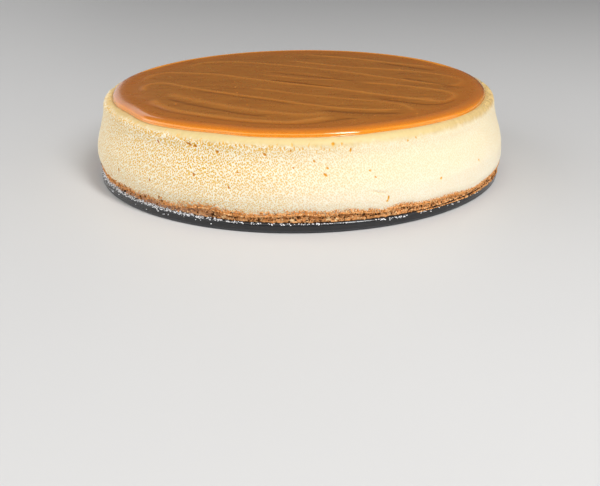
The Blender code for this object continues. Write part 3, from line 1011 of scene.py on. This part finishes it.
def makeCrust():
    c = crust
    angles = np.arange(c["steps"]) * 360.0 / c["steps"]
    line = readRound(crustLine, angles)[None, :]
    reach = readRound(crustReach, angles)[None, :]
    ledge = baseBox[1].z + 0.05
    below = ledge - 3.5

    def level(value):
        return np.full((1, c["steps"]), value)

    share = np.linspace(0.0, 1.0, c["sideRings"])[:, None]
    sideHeight = line - 0.4 + (ledge - line + 0.4) * share
    sideRadius = np.repeat(reach - 0.25, c["sideRings"], 0)
    topRadius = np.vstack([level(60.0), level(100.0), reach - 3.0, reach - 1.2])
    topHeight = np.vstack([level(crustTop), level(crustTop), line + 0.05, line + 0.05])
    lowRadius = np.vstack([level(108.5), level(60.0)])
    lowHeight = np.vstack([level(below), level(below)])
    radius = np.vstack([topRadius, sideRadius, lowRadius])
    height = np.vstack([topHeight, sideHeight, lowHeight])
    points = pointsAt(radius, angles[None, :], height)
    rough = 0.7 * smoothNoise(points, 1.3) + 0.7 * smoothNoise(points, 0.62) + 0.5 * smoothNoise(points, 3.4)
    rough = rough.reshape(radius.shape)
    lift = smoothNoise(points + 7.0, 0.9).reshape(radius.shape)
    side = np.zeros(radius.shape)
    side[len(topRadius):-len(lowRadius)] = 1.0
    side[len(topRadius) - 1] = 0.6
    above = np.clip((height - ledge) / np.maximum(line - ledge, 0.5), 0.0, 1.0)
    smooth = smoothShare(angles[None, :], above)
    calm = 1.0 - 0.6 * smooth
    radius = radius + side * c["crag"] * rough * calm
    height = height + side * 0.25 * lift * calm * (height > ledge + 0.3)
    # tone: lighter on the wall's bumps, darker in the hollows between them and towards the ledge, painted shade
    tone = np.clip(0.38 + 0.50 * rough + 0.22 * np.abs(above - 0.45), 0.0, 1.0) * fade(above, -0.15, 0.22)
    piece = turnedPiece("crust", radius, height, angles, crustTop, below, {"tone": tone, "smooth": smooth})
    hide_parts("crumb_crust")
    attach(piece, "root")
    return piece


def crumbSizes(count, lowShare, highShare, rng):
    # half sizes of grains, most of them small, from shares of the smallest and the largest
    low, high = crust["crumbSize"][0] * lowShare, crust["crumbSize"][1] * highShare
    size = low + (high - low) * rng.uniform(0, 1, (count, 1)) ** 1.7
    return size * rng.uniform(0.7, 1.25, (count, 3))


def pressedCrumbs(rng):
    # pressed into the side, fewer where it is smooth, with each one's share of the way up
    ledge = baseBox[1].z
    angle = rng.uniform(-180.0, 180.0, crust["crumbs"])
    share = rng.beta(1.1, 0.9, len(angle))
    keep = rng.uniform(0, 1, len(angle)) > 0.80 * smoothShare(angle, share)
    angle, share = angle[keep], share[keep]
    height = ledge + 0.2 + (readRound(crustLine, angle) - ledge + 0.3) * share
    sizes = crumbSizes(len(angle), 1.0, 1.0, rng)
    radius = readRound(crustReach, angle) - 0.25 + rng.normal(0.0, 0.16, len(angle))
    return pointsAt(radius, angle, height), sizes, share


def strayCrumbs(rng):
    # stuck to the cheese above
    angle = rng.uniform(-180.0, 180.0, crust["strays"])
    lift = rng.exponential(1.0, len(angle)) * (0.35 + 2.00 * crumbCluster(angle)) - 0.2
    keep = (lift < 4.8) & (rng.uniform(0, 1, len(angle)) > 0.65 * smoothShare(angle, 0.0))
    angle, lift = angle[keep], lift[keep]
    height = readRound(crustLine, angle) + lift
    return pointsAt(wallRadius(angle, height) - 0.06, angle, height), crumbSizes(len(angle), 0.90, 0.74, rng)


def fallenCrumbs(rng):
    # fallen onto the ledge of the tin
    angle = rng.uniform(-180.0, 180.0, crust["fallen"])
    sizes = crumbSizes(len(angle), 0.8, 0.75, rng)
    radius = np.minimum(readRound(crustReach, angle) + 0.1, baseBox[1].x - 1.4)
    return pointsAt(radius, angle, baseBox[1].z + 0.6 * sizes[:, 2]), sizes


def drapedCrumbs(rng):
    # lying over the edge of the tin
    angle = rng.uniform(*crust["drapedFrom"], crust["draped"])
    inner, outer = readRound(crustReach, angle), baseBox[1].x - 0.35
    radius = inner + (outer - inner) * rng.uniform(0, 1, len(angle)) ** 1.4
    sizes = crumbSizes(len(angle), 0.7, 0.62, rng)
    return pointsAt(radius, angle, ledgeLevel(radius) + 0.3 * sizes[:, 2]), sizes


def clumpedCrumbs(rng):
    # in clumps that stand out
    clumps = np.repeat(np.array(crumbClumps), crust["clumpCrumbs"], axis=0)
    angle = clumps[:, 0] + rng.normal(0.0, 0.24, len(clumps))
    height = clumps[:, 1] + rng.normal(0.0, 0.42, len(clumps))
    return pointsAt(wallRadius(angle, height) + 0.05, angle, height), crumbSizes(len(angle), 0.8, 0.75, rng)


def joinCrumbs(name, centres, sizes, tone, warm, rng):
    across = np.hypot(centres[:, 0], centres[:, 1])
    inside = (crust["limit"] - 1.3 * sizes.max(1)) / across     # nothing reaches outside the solids
    centres[:, :2] *= np.minimum(1.0, inside)[:, None]
    turns = anyTurns(len(centres), rng)
    piece = scatterPiece(name, grainShape(1), centres, sizes, turns, {"tone": tone, "warm": warm}, 0.22, rng)
    piece.data.polygons.foreach_set("use_smooth", [False] * len(piece.data.polygons))
    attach(piece, "root")
    report(f"{name}: {len(centres)} grains")
    return piece


def makeCrumbs():
    rng = np.random.default_rng(23)
    side, sideSizes, share = pressedCrumbs(rng)
    kinds = [strayCrumbs(rng), fallenCrumbs(rng), drapedCrumbs(rng), clumpedCrumbs(rng)]
    loose, looseSizes = (np.vstack(parts) for parts in zip(*kinds))
    strays, fallen, draped, clumped = (len(centres) for centres, sizes in kinds)
    # pressed crumbs are darker in the middle of the wall and darkest at its foot on the ledge, painted shade
    sideTone = rng.beta(0.60, 0.68, len(side)) * (0.72 + 0.7 * np.abs(share - 0.5)) * fade(share, -0.15, 0.22)
    looseTone = np.concatenate([rng.beta(1.7, 1.5, strays), rng.uniform(0.1, 1, fallen),
                                rng.beta(1.0, 1.1, draped), rng.uniform(0.02, 0.30, clumped)])
    looseWarm = np.concatenate([rng.uniform(0.4, 1.0, strays), rng.uniform(0, 0.6, fallen),
                                rng.uniform(0.3, 0.9, draped), rng.uniform(0.2, 0.7, clumped)])
    sideWarm = rng.uniform(0, 0.5, len(side))
    return (joinCrumbs("crumbs", side, sideSizes, sideTone, sideWarm, rng),
            joinCrumbs("stray_crumbs", loose, looseSizes, looseTone, looseWarm, rng))


def crustFinish(loose):
    finish = Finish("loose_crumbs" if loose else "pressed_crumbs", Roughness=0.75, IOR=1.45, Specular_IOR_Level=0.15)
    grain = finish.group(grainGroup, Patch_Size=3.0, Grain_Size=0.45, Grain_Share=0.7)
    tone = finish.value("tone")
    # low tone gives painted shade in the crust's hollows and at its foot; the crumbs' tone is their own
    colour = finish.mix(finish.spread(tone, 0.0, 0.40), crust["darkColour"], crust["mainColour"])
    colour = finish.mix(finish.spread(tone, 0.5, 0.95), colour, crust["lightColour"])
    crumbly = finish.spread(grain.outputs["Grain"], 0.5, 1.0, 0.0, 0.35)
    colour = finish.mix(crumbly, colour, crust["darkColour"])
    if loose:
        warm = finish.spread(finish.value("warm"), 0.3, 1.0, 0.0, 0.55)
        colour = finish.mix(warm, colour, crust["warmColour"])
    else:
        smooth = finish.math("MULTIPLY", finish.value("smooth"), 0.7)
        colour = finish.mix(smooth, colour, crust["smoothColour"])
    finish.link(colour, "Base Color")
    finish.link(finish.spread(grain.outputs["Tone"], 0.0, 1.0, 0.58, 0.88), "Roughness")
    finish.bump(grain.outputs["Height"], 0.6, 0.15)
    return finish


crustFinish(False).onto(makeCrust())
looseFinish = crustFinish(True)
for crumbPiece in makeCrumbs():
    looseFinish.onto(crumbPiece)
report("crust pressed and crumbs scattered")


# Tin base: a coated steel tray whose edge is rolled over, with beads of butter left on its ledge, most painted white
# as glints.

tin = {
    "steps": 480,
    "beads": 2300,
    "beadSize": (0.25, 0.50),       # half sizes
    "curlLift": 0.2,                # of the curled edge above the table
    "curlSize": 0.8,                # half its width
    "coatColour": (0.024, 0.024, 0.025),
    "wornColour": (0.034, 0.036, 0.040),
    # painted highlight: the curled lower edge is a lighter grey
    "litEdgeColour": (0.050, 0.052, 0.056),
    # painted glints: white for the beads
    "beadGlintColour": (0.930, 0.940, 0.960),
}
# How thickly the beads lie, most of them painted white as glints where light catches the ledge: angle and share of
# the most.
glintBeadSpread = (
    (-180, 0.60), (-168, 0.95), (-150, 1.0), (-125, 0.95), (-112, 0.60), (-100, 0.18), (-92, 0.18), (-86, 0.40),
    (-81, 0.28), (-77, 0.06), (-72, 0.10), (-66, 0.26), (-60, 0.10), (-45, 0.03), (-30, 0.0), (30, 0.0),
    (90, 0.18), (180, 0.60),
)


def makeBase():
    c = tin
    outer, top = baseBox[1].x, baseBox[1].z
    inner = outer - 5.0
    corner, lift, lip = tinCorner, c["curlLift"], c["curlSize"]
    profile = [(60.0, 1.0), (inner - 1.5, 1.0), (inner, 1.2)]
    for a in np.radians(np.linspace(180, 90, 7)):                # up from the tray to the ledge
        profile.append((inner + 1.2 + 1.2 * math.cos(a), top - corner + corner * math.sin(a)))
    profile += [(inner + 1.9, top), (outer - corner - 0.5, top)]
    for a in np.radians(np.linspace(90, 0, 11)):                 # over the edge
        profile.append((outer - corner + corner * math.cos(a), top - corner + corner * math.sin(a)))
    for inset, drop in ((0.02, 0.3), (0.12, 0.6), (0.02, 0.9)):  # a fine groove under it
        profile.append((outer - inset, top - corner - drop))
    profile += [(outer - 0.03, lift + lip + 0.9), (outer - 0.12, lift + lip + 0.55)]
    for a in np.radians(np.linspace(20, -90, 8)):                # the curled edge
        profile.append((outer - lip + lip * math.cos(a), lift + lip * 0.62 + 0.62 * lip * math.sin(a)))
    profile += [(outer - 1.4, lift + 0.25), (inner + 0.6, lift + 0.1), (inner, lift), (inner - 1.5, 0.0)]
    profile = np.array(profile + [(60.0, 0.0)])
    angles = np.arange(c["steps"]) * 360.0 / c["steps"]
    radius = np.repeat(profile[:, :1], c["steps"], 1)
    height = np.repeat(profile[:, 1:], c["steps"], 1)
    points = pointsAt(radius, angles[None, :], height)
    dents = (smoothNoise(points, 21.0) + 0.4 * smoothNoise(points, 7.0)).reshape(radius.shape)
    rim = fade(radius, inner, outer - 1.0)
    radius = radius + rim * (0.07 * dents - 0.08)
    height = np.clip(height + rim * 0.05 * np.roll(dents, 9, axis=1) * (height > 0.3), 0.0, top)
    # painted highlight line along the outer face of the curled lower edge
    curlHighlight = fade(radius, outer - 0.7, outer - 0.1) * (1.0 - fade(height, 0.9, 1.6))
    greasy = np.clip((readSpread(glintBeadSpread, angles) - 0.35) / 0.65, 0.0, 1.0)
    film = greasy[None, :] * fade(height, top - 1.5, top - 0.6)
    piece = turnedPiece("base", radius, height, angles, 1.0, 0.0, {"curlHighlight": curlHighlight, "film": film})
    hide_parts("springform_base")
    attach(piece, "root")
    return piece


def makeBeads():
    c = tin
    rng = np.random.default_rng(31)
    outer, top = baseBox[1].x, baseBox[1].z
    angle = rng.uniform(-180.0, 180.0, c["beads"] * 2)
    angle = angle[rng.uniform(0, 1, len(angle)) < readSpread(glintBeadSpread, angle)]
    count = len(angle)
    share = readSpread(glintBeadSpread, angle)
    low, high = c["beadSize"]
    size = low + (high - low) * rng.uniform(0, 1, count) ** 1.4
    inside = readRound(crustReach, angle) + 0.15
    run = rng.beta(0.95, 1.15, count)
    across = inside + run * np.maximum(outer - 0.25 - inside, 0.3)
    level = ledgeLevel(across)
    clinging = 0.12 + 0.30 * np.exp(-((angle + 131.0) / 14.0) ** 2)
    climb = (rng.uniform(0, 1, count) < clinging) * share
    level = level + climb * rng.uniform(0.2, 1.2, count)            # some cling to the foot of the crust
    across = np.where(climb > 0.4, inside + 0.05, across)
    down = (rng.uniform(0, 1, count) < 0.07 * share) & (climb < 0.4)   # and some hang on the tin's side
    level = np.where(down, top - tinCorner * rng.uniform(0.5, 1.6, count), level)
    across = np.where(down, outer - 0.1 - 0.3 * np.maximum(level - (top - tinCorner), 0.0), across)
    centres = pointsAt(np.minimum(across, outer - 0.1), angle, level - 0.03)
    sizes = np.stack([size * rng.uniform(0.8, 1.3, count), size * rng.uniform(0.8, 1.3, count), 0.65 * size], -1)
    turns = turnsAbout(rng.uniform(0, 360, count))
    values = {"tone": rng.uniform(0, 1, count)}
    piece = scatterPiece("butter_glint_beads", grainShape(1), centres, sizes, turns, values, 0.06, rng)
    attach(piece, "root")
    return piece


def baseFinish():
    finish = Finish("dark_nonstick_coating", Roughness=0.30, IOR=1.55, Metallic=0.12, Specular_IOR_Level=0.38)
    grain = finish.group(grainGroup, Patch_Size=6.0, Grain_Size=0.5, Grain_Share=0.6)
    specks = finish.specks(finish.objectPlace(), speckGroup, Spacing=0.9, Size=0.22, Share=0.35)
    drops = finish.specks(finish.objectPlace(), speckGroup, Spacing=0.62, Size=0.45, Share=0.7)
    wear = finish.spread(grain.outputs["Tone"], 0.0, 1.0, 0.0, 0.35)
    colour = finish.mix(wear, tin["coatColour"], tin["wornColour"])
    colour = finish.mix(finish.math("MULTIPLY", specks.outputs["Specks"], 0.5), colour, tin["wornColour"])
    # painted highlight on the curled lower edge
    colour = finish.mix(finish.value("curlHighlight"), colour, tin["litEdgeColour"])
    finish.link(colour, "Base Color")
    rough = finish.spread(grain.outputs["Tone"], 0.0, 1.0, 0.09, 0.17)
    filmed = finish.math("MULTIPLY", finish.value("film"), 0.04)
    finish.link(finish.math("SUBTRACT", rough, filmed), "Roughness")
    beaded = finish.math("MULTIPLY", finish.math("MULTIPLY", drops.outputs["Specks"], finish.value("film")), 2.0)
    relief = finish.math("MULTIPLY", grain.outputs["Height"], 0.3)
    finish.bump(finish.math("ADD", beaded, relief), 0.6, 0.08)
    return finish


def beadFinish():
    finish = Finish("butter_glint_beads", Roughness=0.10, IOR=1.46, Coat_Weight=0.8, Coat_Roughness=0.05)
    grain = finish.group(grainGroup, Patch_Size=2.0, Grain_Size=0.3, Grain_Share=0.5)
    # painted glints: most beads white
    colour = finish.mix(finish.spread(finish.value("tone"), 0.10, 0.16), tin["coatColour"], tin["beadGlintColour"])
    colour = finish.mix(finish.spread(grain.outputs["Grain"], 0.0, 1.0, 0.0, 0.15), colour, tin["coatColour"])
    finish.link(colour, "Base Color")
    return finish


baseFinish().onto(makeBase())
beadFinish().onto(makeBeads())
report("tin base and butter beads made")


# Tiny bubbles that set in the caramel's skin.

bubbles = {
    "size": (0.22, 0.50),
    "extra": 46,
}
# Those that stand out: x, y and half size.
bubblePlaces = (
    (20, 9, 0.7), (62, 36, 0.6), (70, 18, 0.5), (-36, -8, 0.6), (-60, -14, 0.6), (-65, -47, 0.65),
    (-27, -51, 0.55), (-74, 32, 0.5), (-43, -49, 0.5), (-72, 12, 0.4), (23, -49, 0.4), (38, -75, 0.5),
    (-30, -63, 0.4), (59, -73, 0.5), (-20, -26, 0.5), (47, -75, 0.45), (4, -30, 0.4), (-4, -43, 0.4),
    (-6.5, -103.2, 0.35), (-5.5, -103.8, 0.25), (88.6, -54.3, 0.4), (89.4, -55.0, 0.3), (74.2, -71.0, 0.45),
)


def makeBubbles():
    rng = np.random.default_rng(3)
    spots = np.array(bubblePlaces, float)
    extraAngle = rng.uniform(-180, 180, bubbles["extra"])
    extraReach = 92.0 * np.sqrt(rng.uniform(0, 1, bubbles["extra"]))
    extraSize = rng.uniform(*bubbles["size"], bubbles["extra"])
    extra = pointsAt(extraReach, extraAngle, extraSize)
    spots = np.vstack([spots, extra])
    mesh = caramelPiece.data
    topTree = BVHTree.FromPolygons([v.co / mm for v in mesh.vertices], [list(p.vertices) for p in mesh.polygons])
    down = Vector((0, 0, -1))
    level = np.array([topTree.ray_cast(Vector((x, y, 60.0)), down)[0].z for x, y, size in spots])
    half = spots[:, 2]
    centres = np.column_stack([spots[:, :2], np.minimum(level, caramelHigh - 0.32 * half)])
    sizes = np.stack([half, half * rng.uniform(0.8, 1.1, len(half)), 0.30 * half], -1)
    turns = turnsAbout(rng.uniform(0, 360, len(half)))
    # the bubbles take the painted ridge sheen and a little of the painted lit border
    looks = {"lip": 0.0, "stroke": 1.0, "groove": 0.0, "border": 0.25, "gloss": 0.25, "margin": 0.0, "streak": 0.5}
    values = {key: np.full(len(half), value) for key, value in looks.items()}
    piece = scatterPiece("caramel_bubbles", grainShape(2), centres, sizes, turns, values, 0.0, rng)
    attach(piece, "root")
    return piece


caramelFinish("caramel_bubbles").onto(makeBubbles())
report("bubbles set")


# Studio: a plain pale table, a tall soft light at the front right, a wide one at the left, and little else.

studio = {
    "floorReach": 4.0,
    "floorColour": (0.640, 0.632, 0.622),
    "worldColour": (0.62, 0.64, 0.68),
    "worldStrength": 0.104,
    # direction from the cake in degrees, height above it in degrees, distance, width, height, power
    "lights": {
        "key_front_right": (-54.0, 48.0, 1.30, 0.25, 0.80, 12.6),
        "wide_left": (149.0, 15.0, 1.60, 2.90, 1.00, 5.6),
        "fill_left": (192.0, 30.0, 1.40, 2.00, 1.20, 12.0),
        "fill_front": (-95.0, 50.0, 1.60, 1.4, 1.0, 6.4),
        "fill_right": (-12.0, 25.0, 1.20, 1.0, 0.9, 2.6),
    },
}


def makeFloor():
    reach = studio["floorReach"] / mm
    side = np.linspace(-reach, reach, 41)
    x, y = np.meshgrid(side, side, indexing="ij")
    points = np.stack([x, y, np.zeros_like(x)], -1).reshape(-1, 3)
    i, j = np.meshgrid(np.arange(40), np.arange(40), indexing="ij")
    corner = (i * 41 + j).ravel()
    faces = np.stack([corner, corner + 41, corner + 42, corner + 1], -1).tolist()
    floor = addPiece("table_top", points, faces)
    finish = Finish("pale_table", Roughness=0.55, IOR=1.45)
    grain = finish.group(grainGroup, Patch_Size=160.0, Grain_Size=3.0, Grain_Share=0.4)
    finish.link(finish.mix(finish.spread(grain.outputs["Tone"], 0.0, 1.0, 0.0, 0.3), studio["floorColour"],
                           tuple(0.96 * v for v in studio["floorColour"])), "Base Color")
    finish.bump(grain.outputs["Grain"], 0.1, 0.05)
    finish.onto(floor)
    return floor


def makeLights():
    target = Vector((0.0, 0.0, 0.025))
    for name, (azimuth, lift, distance, width, height, power) in studio["lights"].items():
        lamp = bpy.data.lights.new(name, "AREA")
        lamp.shape = "RECTANGLE"
        lamp.size, lamp.size_y, lamp.energy = width, height, power
        obj = bpy.data.objects.new(name, lamp)
        bpy.context.scene.collection.objects.link(obj)
        a, e = math.radians(azimuth), math.radians(lift)
        out = Vector((math.cos(a) * math.cos(e), math.sin(a) * math.cos(e), math.sin(e)))
        obj.location = target + out * distance
        obj.rotation_euler = out.to_track_quat("Z", "Y").to_euler()
    world = bpy.data.worlds.new("studio_air")
    bpy.context.scene.world = world
    world.use_nodes = True
    background = world.node_tree.nodes["Background"]
    background.inputs["Color"].default_value = (*studio["worldColour"], 1.0)
    background.inputs["Strength"].default_value = studio["worldStrength"]


camera = {
    "distance": 0.517405,     # in front of the cake's axis, along -Y
    "height": 0.161378,
    "pitchDown": 22.425,
    "turnLeft": 0.029,
    "roll": 0.653,
    "lens": 54.458,           # on a 36 mm wide frame
}


def makeCamera():
    data = bpy.data.cameras.new("camera")
    data.sensor_width = 36.0
    data.lens = camera["lens"]
    data.clip_start = 0.01
    obj = bpy.data.objects.new("camera", data)
    bpy.context.scene.collection.objects.link(obj)
    turn = Matrix.Rotation(math.radians(camera["turnLeft"]), 4, "Z")
    pitch = Matrix.Rotation(math.radians(90.0 - camera["pitchDown"]), 4, "X")
    roll = Matrix.Rotation(math.radians(-camera["roll"]), 4, "Z")
    obj.matrix_world = Matrix.Translation((0.0, -camera["distance"], camera["height"])) @ turn @ pitch @ roll
    bpy.context.scene.camera = obj


makeFloor()
makeLights()
makeCamera()
bpy.context.scene.view_settings.view_transform = "Standard"
report("table, lights and camera set")
